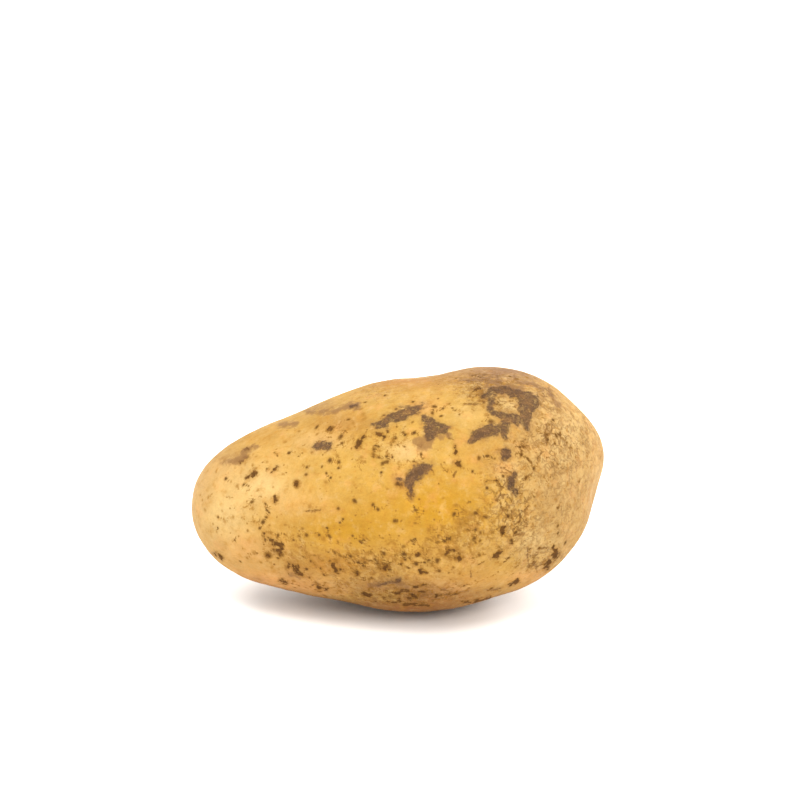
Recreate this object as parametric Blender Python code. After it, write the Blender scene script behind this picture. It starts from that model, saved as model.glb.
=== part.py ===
"""A large oval potato lying on its belly, modelled as the one closed body that it is.

X runs along the tuber, from the slender rose end at -X to the blunt stem end at +X, Y is its
depth, and Z is up. All sizes are in metres. The origin is on the surface that the tuber lies
on, under the middle of its length and depth.
"""

import math
from collections import namedtuple

import bmesh
import bpy
from mathutils import Vector, noise

MM = 0.001

# Driving dimensions
LENGTH = 112 * MM
HALF_LENGTH = LENGTH / 2
GRID_CUTS = 30  # along each edge of the cube whose faces become the skin's mesh
REST_PRESS = 0.9 * MM  # how much of the belly is flat, measured up from its lowest point

# The tuber's form at even steps along its length, from the rose end to the stem end. Each step
# is the middle of an ellipsoid with LENGTH as its long axis: where it lies and its half sizes.
CENTRE_HEIGHT = [29.6, 29.3, 29.8, 31.4, 32.1, 33.5, 36.2, 37.8, 39.9]
HALF_HEIGHT = [29.6, 28.1, 27.6, 29.0, 31.5, 33.4, 35.7, 37.6, 34.0]
CENTRE_DEPTH = [-1.0, -0.6, 0.0, 0.4, 0.3, 0.0, -0.2, 0.2, 0.6]
HALF_DEPTH = [30.0, 30.6, 31.4, 33.2, 35.2, 36.9, 38.0, 38.2, 35.5]

# Low swellings and hollows that spread over the whole skin
LUMP_SPACING = 26 * MM
LUMP_HEIGHT = 0.45 * MM
RIPPLE_SPACING = 9 * MM
RIPPLE_HEIGHT = 0.12 * MM

# Broad single swellings (height over 0) and hollows (height under 0). along is measured from
# the middle of the length, and roll from the top towards the front, at -Y.
Swelling = namedtuple("Swelling", "along roll reach height")
SWELLINGS = [
    Swelling(along=54 * MM, roll=20, reach=9 * MM, height=1.5 * MM),
    Swelling(along=47 * MM, roll=140, reach=13 * MM, height=1.6 * MM),
    Swelling(along=8 * MM, roll=343, reach=7 * MM, height=-1.6 * MM),
    Swelling(along=53 * MM, roll=100, reach=8 * MM, height=-0.9 * MM),
    Swelling(along=54.2 * MM, roll=130, reach=4.5 * MM, height=-1.3 * MM),
    Swelling(along=36 * MM, roll=155, reach=11 * MM, height=0.8 * MM),
    Swelling(along=-46 * MM, roll=150, reach=14 * MM, height=1.5 * MM),
    Swelling(along=-29 * MM, roll=108, reach=10 * MM, height=-0.5 * MM),
    Swelling(along=-20 * MM, roll=262, reach=14 * MM, height=0.9 * MM),
    Swelling(along=6 * MM, roll=248, reach=11 * MM, height=-0.9 * MM),
    Swelling(along=30 * MM, roll=300, reach=12 * MM, height=0.8 * MM),
    Swelling(along=-38 * MM, roll=200, reach=11 * MM, height=-0.7 * MM),
    Swelling(along=36 * MM, roll=215, reach=13 * MM, height=0.7 * MM),
]

# Long folds in the skin: furrows (height under 0) and ridges (height over 0), between two places
# given along the tuber and by degrees of roll
Fold = namedtuple("Fold", "start end reach height")
FOLDS = [
    Fold(start=(-15 * MM, 127), end=(19 * MM, 131), reach=4.0 * MM, height=-0.4 * MM),
    Fold(start=(-5 * MM, 143), end=(15 * MM, 143), reach=5.0 * MM, height=0.35 * MM),
    Fold(start=(39 * MM, 104), end=(35 * MM, 140), reach=4.0 * MM, height=-0.55 * MM),
    Fold(start=(-24 * MM, 228), end=(2 * MM, 216), reach=4.5 * MM, height=-0.4 * MM),
    Fold(start=(44 * MM, 232), end=(40 * MM, 290), reach=4.5 * MM, height=-0.45 * MM),
]
FOLD_STEPS = 5

# An eye is a shallow pit with a curved brow on its stem side
Eye = namedtuple("Eye", "along roll width depth")
EYES = [
    Eye(along=-30 * MM, roll=110, width=9 * MM, depth=0.9 * MM),
    Eye(along=4 * MM, roll=63, width=8 * MM, depth=0.4 * MM),
    Eye(along=4 * MM, roll=124, width=10 * MM, depth=0.8 * MM),
    Eye(along=36 * MM, roll=121, width=9 * MM, depth=0.8 * MM),
    Eye(along=29 * MM, roll=66, width=8 * MM, depth=0.4 * MM),
    Eye(along=46 * MM, roll=132, width=8 * MM, depth=0.8 * MM),
    Eye(along=-49 * MM, roll=305, width=7 * MM, depth=0.9 * MM),
    Eye(along=-50 * MM, roll=195, width=7 * MM, depth=0.9 * MM),
    Eye(along=-37 * MM, roll=252, width=9 * MM, depth=1.0 * MM),
    Eye(along=-11 * MM, roll=290, width=10 * MM, depth=0.9 * MM),
    Eye(along=-19 * MM, roll=185, width=9 * MM, depth=0.8 * MM),
    Eye(along=15 * MM, roll=236, width=10 * MM, depth=1.0 * MM),
    Eye(along=37 * MM, roll=268, width=10 * MM, depth=0.8 * MM),
]
BROW_HEIGHT_SHARE = 0.55  # of the pit's depth
BROW_THICKNESS_SHARE = 0.17  # of the eye's width

# The scar where the tuber hung from its runner: a dimple with a soft rim and a dry stub
SCAR_ALONG = 54.5 * MM
SCAR_ROLL = 290
SCAR_RADIUS = 5.0 * MM
SCAR_DEPTH = 1.6 * MM
SCAR_RIM = 0.5 * MM
STUB_RADIUS = 1.5 * MM
STUB_HEIGHT = 1.4 * MM

SKIN_COLOUR = (0.72, 0.47, 0.20, 1.0)
SKIN_ROUGHNESS = 0.62


def clear_scene():
    for old in list(bpy.data.objects):
        bpy.data.objects.remove(old, do_unlink=True)


def station(values, share):
    """A station list, in millimetres, read smoothly at share, which runs from -1 to 1."""
    place = (share + 1) / 2 * (len(values) - 1)
    first = min(int(place), len(values) - 2)
    t = place - first
    p1, p2 = values[first], values[first + 1]
    p0 = values[first - 1] if first > 0 else 2 * p1 - p2
    p3 = values[first + 2] if first + 2 < len(values) else 2 * p2 - p1
    bend = 2 * p0 - 5 * p1 + 4 * p2 - p3 + (3 * (p1 - p2) + p3 - p0) * t
    return (p1 + 0.5 * t * (p2 - p0 + t * bend)) * MM


def form_point(unit):
    """The point of the tuber's plain form that a point of the unit sphere becomes."""
    share = max(-1.0, min(1.0, unit.x))
    return Vector((
        HALF_LENGTH * share,
        station(CENTRE_DEPTH, share) + station(HALF_DEPTH, share) * unit.y,
        station(CENTRE_HEIGHT, share) + station(HALF_HEIGHT, share) * unit.z,
    ))


def unit_at(along, roll):
    """The unit sphere's point at a place given along the tuber and by degrees of roll."""
    share = along / HALF_LENGTH
    ring = math.sqrt(max(0.0, 1 - share * share))
    turn = math.radians(roll)
    return Vector((share, -math.sin(turn) * ring, math.cos(turn) * ring))


class SkinPlace:
    """A place on the plain form with its outward axis, its axis to the stem end and across."""

    STEP = 0.01

    def __init__(self, along, roll):
        unit = unit_at(along, roll)
        across = unit.cross(Vector((1, 0, 0))).normalized()
        to_stem = across.cross(unit).normalized()
        self.point = form_point(unit)
        ahead = form_point((unit + to_stem * self.STEP).normalized()) - self.point
        aside = form_point((unit + across * self.STEP).normalized()) - self.point
        self.out = ahead.cross(aside).normalized()
        if self.out.dot(unit) < 0:
            self.out.negate()
        self.to_stem = (ahead - self.out * ahead.dot(self.out)).normalized()
        self.across = self.out.cross(self.to_stem)

    def measure(self, point):
        """How far a point of the skin lies towards the stem end, across and inwards."""
        away = point - self.point
        return away.dot(self.to_stem), away.dot(self.across), -away.dot(self.out)


def bell(distance, reach):
    return math.exp(-((distance / reach) ** 2))


def lumps(point):
    slow = noise.noise(point / LUMP_SPACING + Vector((3.1, 7.4, 1.8)))
    quick = noise.noise(point / RIPPLE_SPACING + Vector((9.2, 0.7, 5.5)))
    return LUMP_HEIGHT * slow + RIPPLE_HEIGHT * quick


def fold_swellings(fold):
    """The row of small swellings that a fold is made of."""
    row = []
    for step in range(FOLD_STEPS):
        share = step / (FOLD_STEPS - 1)
        along, roll = (start + (end - start) * share for start, end in zip(fold.start, fold.end))
        row.append(Swelling(along, roll, fold.reach, fold.height))
    return row


def swelling_relief(swelling, place, point):
    return swelling.height * bell((point - place.point).length, swelling.reach)


def eye_relief(eye, place, point):
    """The pit and, on its stem side, the brow that curves round it."""
    ahead, aside, inward = place.measure(point)
    if inward > eye.width:
        return 0.0
    pit = -eye.depth * bell(math.hypot(ahead, aside * 0.75), eye.width * 0.32)
    reach = math.hypot(ahead * 1.15, aside * 0.8)
    stem_side = max(0.0, ahead / max(reach, 1e-9))
    brow = bell(reach - eye.width * 0.45, eye.width * BROW_THICKNESS_SHARE) * stem_side
    return pit + eye.depth * BROW_HEIGHT_SHARE * brow


def scar_relief(place, point):
    ahead, aside, inward = place.measure(point)
    if inward > 2 * SCAR_RADIUS:
        return 0.0
    reach = math.hypot(ahead, aside)
    dimple = -SCAR_DEPTH * bell(reach, SCAR_RADIUS * 0.6)
    rim = SCAR_RIM * bell(reach - SCAR_RADIUS, SCAR_RADIUS * 0.35)
    stub = STUB_HEIGHT * bell(reach, STUB_RADIUS)
    return dimple + rim + stub


def unit_sphere():
    """A cube's grid blown up to a sphere, which spaces the skin's points evenly."""
    mesh = bmesh.new()
    bmesh.ops.create_cube(mesh, size=2.0)
    bmesh.ops.subdivide_edges(mesh, edges=mesh.edges[:], cuts=GRID_CUTS, use_grid_fill=True)
    for vertex in mesh.verts:
        spread = [math.tan(value * math.pi / 4) for value in vertex.co]
        vertex.co = Vector(spread).normalized()
    return mesh


def shape_skin(mesh):
    """Turns the unit sphere into the tuber's plain form, then raises its relief."""
    for vertex in mesh.verts:
        vertex.co = form_point(vertex.co)
    mesh.normal_update()
    scar = SkinPlace(SCAR_ALONG, SCAR_ROLL)
    eyes = [(eye, SkinPlace(eye.along, eye.roll)) for eye in EYES]
    rows = SWELLINGS + [one for fold in FOLDS for one in fold_swellings(fold)]
    swellings = [(one, SkinPlace(one.along, one.roll)) for one in rows]
    raised = []
    for vertex in mesh.verts:
        point = vertex.co.copy()
        height = lumps(point) + scar_relief(scar, point)
        height += sum(eye_relief(eye, place, point) for eye, place in eyes)
        height += sum(swelling_relief(one, place, point) for one, place in swellings)
        raised.append(point + vertex.normal * height)
    for vertex, point in zip(mesh.verts, raised):
        vertex.co = point


def rest_on_belly(mesh):
    """Presses the belly flat, and moves the tuber so that it lies over the origin."""
    floor = min(vertex.co.z for vertex in mesh.verts) + REST_PRESS
    lows = [min(vertex.co[axis] for vertex in mesh.verts) for axis in range(2)]
    highs = [max(vertex.co[axis] for vertex in mesh.verts) for axis in range(2)]
    centre = [(low + high) / 2 for low, high in zip(lows, highs)]
    for vertex in mesh.verts:
        height = max(vertex.co.z - floor, 0.0)
        vertex.co = Vector((vertex.co.x - centre[0], vertex.co.y - centre[1], height))


def skin_material():
    material = bpy.data.materials.new("potato_skin")
    material.use_nodes = True
    shader = material.node_tree.nodes["Principled BSDF"]
    shader.inputs["Base Color"].default_value = SKIN_COLOUR
    shader.inputs["Roughness"].default_value = SKIN_ROUGHNESS
    shader.inputs["Metallic"].default_value = 0.0
    return material


def build_potato(collection):
    grid = unit_sphere()
    shape_skin(grid)
    rest_on_belly(grid)
    mesh = bpy.data.meshes.new("potato")
    grid.to_mesh(mesh)
    grid.free()
    mesh.materials.append(skin_material())
    mesh.shade_smooth()
    potato = bpy.data.objects.new("potato", mesh)
    collection.objects.link(potato)
    return potato


def main():
    clear_scene()
    collection = bpy.data.collections.new("potato_parts")
    bpy.context.scene.collection.children.link(collection)
    build_potato(collection)


main()
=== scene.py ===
"""The looks of a large unwashed potato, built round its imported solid.

The skin is one dense mesh laid over the solid, with finer relief than the solid has. Marks that
the photograph shows are placed by its pixels and laid on the skin through its camera. The side
that it hides has marks of the same kinds, placed by a seeded draw. What each mark does to colour
and surface is worked out in the skin's material, from the distances kept in the mesh.

Lengths are in metres, apart from those named as pixels or millimetres.
"""

import math
import random
from collections import namedtuple

import bpy
import numpy as np
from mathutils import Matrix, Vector, noise
from mathutils.bvhtree import BVHTree
from mathutils.kdtree import KDTree


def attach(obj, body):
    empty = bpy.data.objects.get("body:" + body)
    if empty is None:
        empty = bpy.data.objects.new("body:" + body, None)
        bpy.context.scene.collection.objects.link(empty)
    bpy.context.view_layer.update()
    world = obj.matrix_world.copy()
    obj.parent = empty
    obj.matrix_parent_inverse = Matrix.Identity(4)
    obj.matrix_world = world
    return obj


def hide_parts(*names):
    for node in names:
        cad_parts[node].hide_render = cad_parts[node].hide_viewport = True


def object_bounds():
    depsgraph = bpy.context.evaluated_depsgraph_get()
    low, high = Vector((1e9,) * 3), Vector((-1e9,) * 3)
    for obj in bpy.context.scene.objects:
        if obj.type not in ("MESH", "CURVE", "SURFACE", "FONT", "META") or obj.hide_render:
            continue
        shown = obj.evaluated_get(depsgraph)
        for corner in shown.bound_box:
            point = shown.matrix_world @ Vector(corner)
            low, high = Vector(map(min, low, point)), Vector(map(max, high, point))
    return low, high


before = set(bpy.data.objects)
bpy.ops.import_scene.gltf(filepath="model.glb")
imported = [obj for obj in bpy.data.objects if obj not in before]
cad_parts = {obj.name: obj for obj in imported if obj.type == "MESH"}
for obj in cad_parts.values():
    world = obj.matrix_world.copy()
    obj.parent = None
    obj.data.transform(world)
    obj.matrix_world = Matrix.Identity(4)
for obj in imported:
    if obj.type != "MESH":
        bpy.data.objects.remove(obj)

CAD_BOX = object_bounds()
LOW, HIGH = (np.array(corner) for corner in CAD_BOX)
NODE = "potato"
BODY = "root"

MM = 0.001
SEED = 20

# The photograph's camera
PHOTO_SIDE = 800  # pixels
LENS = 85.0
SENSOR = 36.0
AIM = Vector((0.75, 0.74, 57.41)) * MM
DISTANCE = 511.6 * MM
ELEVATION = math.radians(17)

# The skin's mesh
STEPS = (160, 112, 112)  # along X, Y and Z of the box that becomes it
SMOOTHING_ROUNDS = 12

# A stroke is a chain of round dabs, each a place and a radius in the photograph's pixels
HOOK_CRUST = [
    [(484, 396.5, 1.6), (488, 396, 2.8), (492, 391.5, 3.6), (497, 390, 3.8)],
    [(491.5, 399, 2.8), (491, 409, 2.7)],
    [(497, 390, 3.6), (504, 390.5, 3.4), (511, 392, 3.6), (518, 394, 3.8), (523, 397, 4.6)],
    [(523, 397, 4.6), (525, 405, 6), (526, 413, 6.4), (525.5, 421, 5), (527, 429, 1.8)],
    [(528, 398, 6), (533, 401, 5.4), (534, 407, 3.6)],
    [(492, 413, 2), (498, 413.5, 2.4), (503, 417, 3.8), (509, 419, 5), (516, 419.5, 5), (523, 420, 4.5)],
    [(506, 421, 4.6), (504, 429, 3.8)],
    [(470, 441, 2), (474, 437.5, 4.4), (480, 434.5, 6.2), (487, 431.5, 6.2), (494, 430, 6), (501, 429, 4)],
    [(501, 430, 3.4), (506, 435, 2.4)],
]
UPPER_CRUSTS = [
    [(372, 424, 1.2), (377, 425, 2.6), (384, 424, 3.4), (390, 418.5, 4), (397, 416, 5), (404, 413.5, 5.4)],
    [(404, 413.5, 5.4), (411, 412, 4.6), (417, 411, 3.2), (423, 405, 1.8)],
    [(424, 419, 3.4), (429, 421.5, 4.8), (432, 426, 5.4), (440, 430, 4.4), (447, 428, 2.6)],
    [(429, 428, 4), (430, 436, 3.8)], [(434, 434, 1.2), (445, 432, 1.4)],
]
DIAGONAL_CRUST = [
    [(428, 466.5, 3.4), (422, 469, 5.6), (416, 473.5, 7), (412, 479, 6.2), (409, 484, 3.4)],
    [(424, 471, 3), (418, 478, 3.2), (413, 484, 2.4)],
    [(409.5, 484, 2.4), (410, 491, 1.7), (410.5, 497, 1.2)], [(396, 478, 1.0), (401, 479, 1.2)],
]
SMALL_CRUSTS = [
    [(314, 448, 1.2), (319, 446, 3), (323.5, 445.5, 4.4), (328.5, 446.5, 3.4)],
    [(505, 452, 4.3), (506, 455, 4.3)], [(514, 474, 1.5), (511, 480, 3), (510, 486, 3)],
    [(515, 491, 3.3)], [(378, 584.5, 0.9), (386, 582.5, 1.3), (391, 581, 1.1)],
    [(393, 582, 1.5), (398.5, 580.5, 2)], [(351, 407, 0.8), (357, 405.5, 1)],
]
CRUSTS = HOOK_CRUST + UPPER_CRUSTS + DIAGONAL_CRUST + SMALL_CRUSTS
PALE_CRUSTS = [
    [(419, 441, 5), (422, 444, 5.4), (427, 443, 5.6), (430, 436, 5), (427, 428, 3)],
    [(236, 460, 2.4), (243, 457, 3.4), (247, 451, 3)],
    [(223, 463.5, 1.2), (231, 462.5, 1.8), (239, 461, 2.2)], [(250, 448, 1.2), (257, 446, 1)],
    [(555, 402, 2.4), (557, 406, 2.8)], [(540, 388, 1.8), (547, 391, 2)],
    [(547, 391, 1.3), (553, 398, 1.5)], [(534, 384, 1), (541, 387, 1.2)],
    [(497, 369, 2.2), (508, 370, 3), (520, 370, 2.4)],
    [(463, 381, 1), (476, 380, 1.3), (490, 378.5, 1)], [(486, 384.5, 1.2), (500, 381.5, 1.6)],
    [(497, 376, 1.5), (498, 384, 1.8)], [(515, 380, 1), (519, 383, 1.3), (534, 384, 1.4)],
    [(370, 586, 1.4), (379, 585, 1.8)], [(399, 584, 2.2), (406, 586, 1.4)],
    [(495, 389, 4.6), (504, 389.5, 4.8), (512, 390.5, 5.2), (520, 391, 5)],
    [(306, 412, 1.2), (322, 412, 1.9), (338, 411, 2)],
    [(338, 410, 1.6), (346, 407.5, 2.6), (353, 406, 3), (358, 406, 2.8)],
    [(281, 425, 2.2), (289, 425, 2.8), (297, 423.5, 2)], [(441, 437, 2.6), (450, 435, 2.2)],
    [(291, 574, 1.2), (298, 577, 1.6)],
]

# Brown scabs
SCABS = [
    [(363, 437, 2.4), (357.5, 446.5, 2.6)], [(376, 435, 1.3), (381, 435, 2.3), (384.5, 437, 2)],
    [(388, 432, 1.7)], [(455, 446, 1.3), (456, 453, 1.9)], [(457.5, 463, 3), (460, 466, 1.6)],
    [(553, 547, 1.6), (556.5, 552, 2.4), (554, 557, 2.6)], [(549, 562, 2.9), (546, 567, 2.4)],
    [(214, 552.5, 1.4), (222, 557.5, 1.7)], [(281, 580, 1.3), (286, 582.5, 2.1)],
    [(363, 592.5, 1.5), (370, 595.5, 1.8)], [(392, 602, 1.3), (400, 600, 1.4)],
    [(395.5, 593, 1.5), (402, 591, 1.5), (408, 591.5, 1.6)], [(412, 594.5, 1.6), (416, 597, 2.2)],
    [(404, 605, 1.4), (411, 604, 1.6), (420, 604, 1.2), (430, 606, 1.2)],
    [(420, 591.5, 1.2), (427, 590.5, 1)], [(408, 597.5, 1), (413, 599.5, 1.2)],
    [(436, 596, 1.1), (441, 594.5, 0.9)], [(451, 594.5, 1), (457, 593, 0.8)],
    [(462, 602, 0.7), (470, 601.5, 0.8)], [(415, 586.5, 1.6), (419, 586, 1.3), (424, 584.5, 1)],
    [(510, 584.5, 1.6), (518, 581, 2)], [(288, 562.5, 1.6), (288.5, 567, 1.4)],
    [(293, 566, 1.8), (296.5, 571, 1.9), (302, 575.5, 1.6)], [(294, 567, 1.6), (299, 566, 1)],
    [(276.5, 468, 1.7), (272.5, 471.5, 1.4)],
    [(246.5, 478.5, 1.3), (250, 474.5, 1.7), (255, 472.5, 2.2), (253.5, 476, 1.6)],
    [(275, 497, 1.8), (275.5, 500.5, 2.2)],
    [(273, 545, 2.1), (280.5, 543.5, 2.5), (282, 547.5, 2.1)],
    [(273.5, 549.5, 2.1), (279.5, 550, 2)], [(272.5, 541, 1.9)],
    [(333.5, 565.5, 2), (336, 571, 1.7)], [(502, 532.5, 2.2), (502.5, 528, 1.9), (505, 526, 1.4)],
    [(318, 587, 1.8), (322, 588, 1), (328, 588.5, 0.8)],
    [(446, 554, 1.8), (449.5, 550.5, 1.9), (453.5, 549.5, 2.2)],
    [(475, 601, 1.5), (482, 599.5, 0.9), (490, 597, 0.8)], [(486.5, 481, 1), (496, 480, 0.9)],
    [(399, 484.5, 2.2)], [(263.5, 533.5, 1.2), (264.7, 539, 1.2)], [(474, 390, 0.9), (480, 389, 1)],
    [(476, 396, 1), (483, 397.5, 1.4)],
    [(425, 468.5, 2.4), (417, 473.5, 3.8), (411.5, 479, 3.2), (408.5, 484, 2)],
    [(409, 485, 2), (411, 491, 2), (412, 499, 1.5)], [(396.5, 482, 1.2), (402, 485.5, 1.4)],
    [(475, 437.5, 2), (482, 434, 2.8), (489, 431, 2.4)], [(296.6, 483.7, 2.7)], [(280.4, 554, 2.4)],
    [(268, 555, 2.7)], [(330.4, 429, 2.5)], [(357.1, 572.3, 2.3)], [(459.5, 558.3, 2.2)],
    [(384.4, 569, 1.7), (387.2, 565.5, 1.2)],
    [(418.5, 568.5, 1.1), (421, 572.5, 2.1), (426, 572, 1.2)],
    [(414.5, 554.5, 1.4), (418.5, 553.5, 2.9)],
    [(501.5, 552, 2.3), (497, 555, 2.9), (492.5, 558, 1.2)], [(505, 452, 3.2), (506, 455, 3)],
    [(513, 476, 1.6), (510.5, 484, 2.2)], [(396, 581, 1.2), (399, 580.5, 1.5)],
    [(244, 451, 1), (248, 449, 1.3)], [(240, 462, 1.1), (245, 458.5, 1.4), (247.5, 456, 1)],
    [(506, 388.5, 1.2), (512, 391, 1.6), (519, 393, 1.6)],
]

# Round spots: a place and a radius in the photograph's pixels
LEFT_SPOTS = [
    (296.8, 484, 3.2), (226, 478.5, 1.8), (243.7, 484.5, 1.5), (289, 453, 1.8), (306.3, 474.5, 1.6),
    (306.8, 467.2, 1.4), (252, 502, 1.8), (265.5, 504, 1.3), (266.5, 510, 1.2), (269, 512.5, 1.2),
    (263, 522, 2.1), (259.7, 528.2, 1.5), (266, 517.2, 1.3), (218, 517, 1.2), (217.8, 528, 1.2),
    (234.5, 540.5, 1.2), (278, 535.2, 1.8), (280.6, 554, 3), (268, 555.2, 3.3), (240.3, 561.5, 1.3),
    (306.8, 535, 1.8), (319, 535, 1.4), (329.3, 536, 2), (327, 528, 1.4),
]
MIDDLE_SPOTS = [
    (316.7, 427, 2.4), (330.4, 429, 3.4), (340.7, 436.7, 2.7), (342, 443.2, 1.7), (348.5, 419.5, 1.7),
    (329.9, 460.5, 2.3), (338.8, 462, 1.7), (322, 466.6, 1.2), (338.3, 468, 1.2), (326.3, 473.3, 1.3),
    (330.6, 477.6, 1.4), (354.5, 501, 2), (338.3, 508.5, 1.5), (372.8, 504.5, 1.5), (378, 509.5, 1.8),
    (415.6, 510, 1.9), (374, 449.4, 1.7), (395.7, 438, 1.6), (405.2, 435, 1.5),
    (414.3, 432.7, 1.8), (413.8, 461.4, 1.2), (421, 454.2, 1.5), (379, 457.5, 1.6), (386.6, 456.5, 1.3),
    (392.3, 457, 1.4), (387, 461.8, 2), (382.8, 463.4, 2.1), (381.3, 472.4, 1.3), (395, 521, 2),
    (454, 514, 2), (413, 401.6, 1.6), (434.5, 406.5, 2.3), (432.5, 413, 2), (441, 416, 1.5),
    (443, 408, 1.5), (396, 409, 1.3), (384, 415, 1.3), (339.8, 522.7, 1.2), (343, 519, 1.1),
    (385, 395.4, 1.6), (398, 484, 2.2), (407.5, 493, 1.1), (409, 496, 1.1), (365, 402, 1.5),
]
LOWER_SPOTS = [
    (335, 552.3, 1.7), (350.5, 555.8, 1.9), (360, 541, 1.4), (364, 540, 1.1), (404, 554, 2.3),
    (405.3, 559.6, 1.4), (424.5, 562.4, 1.5), (416.3, 564, 1.9), (437.3, 560.3, 2.6), (415.3, 539, 1.2),
    (459.5, 558.3, 2.9), (384, 553.5, 2), (378, 563.5, 2), (387.2, 565.5, 1.7), (384.3, 569, 2.3),
    (357.1, 572.6, 3), (340.5, 569.3, 1.6), (324, 575, 1.6), (306.5, 569.3, 1.8), (449, 594, 2),
    (491.5, 588.5, 1.8), (474, 538.5, 1.9), (476, 530, 1.7), (375.5, 601.2, 1.3), (343, 599, 1.3),
]
RIGHT_SPOTS = [
    (479, 458, 1.8), (487.5, 456, 1.7), (472.4, 471.3, 1.3), (521.2, 454.5, 1.7), (523.5, 447, 1.5),
    (547, 434.6, 1.6), (556.5, 436, 2), (555, 443.3, 1.4), (579, 481.5, 1.3), (485, 517, 1.6),
    (511.2, 540.4, 1.8), (516, 532, 1.6), (539.3, 548, 1.8), (533.7, 556.2, 1.2), (565.1, 543, 2.2),
    (558, 526, 1.6), (558, 533.2, 1.3), (558, 508, 1.6), (508.5, 558, 1.5), (491.3, 421.5, 2.8),
    (487, 488, 1.5), (503, 476, 1.4), (526, 478, 1.8), (508, 516, 1.8), (502, 533, 2), (512, 543, 1.5),
    (530, 549, 1.5), (553, 420, 1.8), (519.5, 447, 1.5), (498, 402, 1.1), (499.5, 405, 1.1),
]
SPOTS = LEFT_SPOTS + MIDDLE_SPOTS + LOWER_SPOTS + RIGHT_SPOTS
FAINT_SPOTS = [
    (237, 486, 1.5), (231, 481.5, 1), (216, 471, 1.3), (200, 495, 1), (202, 500, 1), (208, 497, 1.5),
    (205, 510, 1.5), (213, 524, 1), (233, 517, 1.3), (242, 517.5, 1), (269.5, 525.5, 1), (271, 533, 1.4),
    (254, 553, 2), (247, 558, 1.3), (277, 454, 1.2), (303, 465, 1), (269, 469.5, 1), (297.5, 561, 1.5),
    (267, 462, 1.2), (252.5, 465, 1.2), (283, 474, 1.2), (310, 506, 1.6), (326, 482, 1.6), (324, 538.5, 1.6),
    (272, 567.5, 1.2), (426, 545, 2), (465, 545, 1.3), (361, 409, 1.6), (363, 414, 2), (364, 419, 2),
    (299, 431, 1.4), (317, 434, 1.6), (285, 442, 1.6), (353, 423, 1.4), (432, 565, 1.8), (441, 552, 1.8),
    (458, 528, 2), (464, 525, 2), (470, 518, 2.4), (482, 517, 1.6), (494, 521, 1.6), (453, 536, 1.8),
]

# Fine specks, drawn at random round places in the photograph: all but the count in its pixels
Cluster = namedtuple("Cluster", "x y across down count smallest largest")
CLUSTER_SPREAD = 0.7  # the deviation of the draw, as a share of across and down


def clusters(*rows):
    return [Cluster(*row) for row in rows]


CLUSTERS = clusters(
    (250, 505, 32, 30, 50, 0.5, 1.2), (300, 545, 32, 17, 70, 0.5, 1.4),
    (372, 556, 50, 15, 170, 0.6, 1.7), (450, 545, 32, 20, 100, 0.6, 1.8),
    (400, 593, 60, 8, 150, 0.6, 1.7), (330, 585, 40, 8, 60, 0.6, 1.4),
    (390, 445, 32, 20, 70, 0.5, 1.5), (335, 445, 30, 18, 60, 0.5, 1.4),
    (470, 525, 20, 14, 60, 0.6, 1.8), (520, 572, 32, 11, 60, 0.5, 1.5),
    (480, 400, 28, 14, 60, 0.6, 1.5), (500, 378, 36, 6, 60, 0.6, 1.7),
    (545, 450, 30, 45, 120, 0.5, 1.5), (400, 500, 120, 70, 170, 0.4, 1.0),
)

# Cracks: places along each line in the photograph's pixels
CRACKS = [
    [(495, 476), (499, 484), (500.5, 488), (500, 495), (496, 500), (500, 503), (503, 511)],
    [(505, 483), (502, 488)], [(501, 467), (508, 470), (513, 474)], [(526, 478), (534, 471)],
    [(525, 439), (520, 442), (519, 447)], [(519, 446), (522, 451), (521, 456)],
    [(536, 461), (541, 453)], [(547, 425), (545, 434), (547, 445)], [(545, 434), (560, 434)],
    [(552, 425), (551, 430)], [(523, 446), (528, 446)], [(456, 471), (453, 477)],
    [(524, 512), (529, 506)],
    [(512, 511), (511, 517), (515, 524), (520, 521), (521, 516), (519, 511)],
    [(513, 528), (514, 535), (519, 534), (520, 530), (516, 529)], [(507, 559), (510, 556)],
    [(527.5, 548), (528, 560), (529, 568)], [(531, 563), (534, 562), (533, 565), (528, 568)],
    [(532, 556), (537, 553)], [(539, 548), (548, 548)],
    [(514, 376), (515, 380), (519, 383), (527, 384), (534, 384), (538, 388), (546, 389),
     (551, 394), (553, 400)],
    [(463, 381), (470, 381.5), (476, 379.5), (483, 380), (490, 378.5)],
    [(487, 384), (493, 382), (500, 381)], [(497, 376), (498, 384)], [(501, 386), (503, 394)],
    [(478, 375), (488, 374.5)], [(464, 404), (480, 404)], [(448, 434), (449, 439), (454, 440)],
    [(433, 600), (443, 598)], [(441, 589), (447, 590)], [(471, 571), (471, 577)],
    [(488, 590), (500, 589)], [(305, 511.5), (313, 511), (320, 510)], [(416, 431), (413, 434)],
    [(545, 560), (536, 568)], [(312, 585), (316, 583), (320, 584)],
]

# Soft patches: a centre and a reach in the photograph's pixels, and how strong
Patch = namedtuple("Patch", "x y across down strength")


def patches(*rows):
    return [Patch(*row) for row in rows]


# Where the skin carries a net of fine cracks
NET_PATCHES = patches(
    (562, 440, 48, 42, 0.88), (507, 490, 20, 28, 1.0), (520, 525, 20, 28, 0.75),
    (565, 515, 34, 48, 0.55), (507, 404, 13, 9, 1.0), (478, 393, 14, 10, 0.8),
    (544, 398, 14, 12, 0.9), (480, 535, 30, 24, 0.6), (400, 596, 70, 10, 0.75),
    (490, 383, 46, 14, 0.8), (545, 562, 26, 14, 0.8), (372, 562, 40, 12, 0.45),
    (375, 392, 36, 8, 0.4),
)

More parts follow.
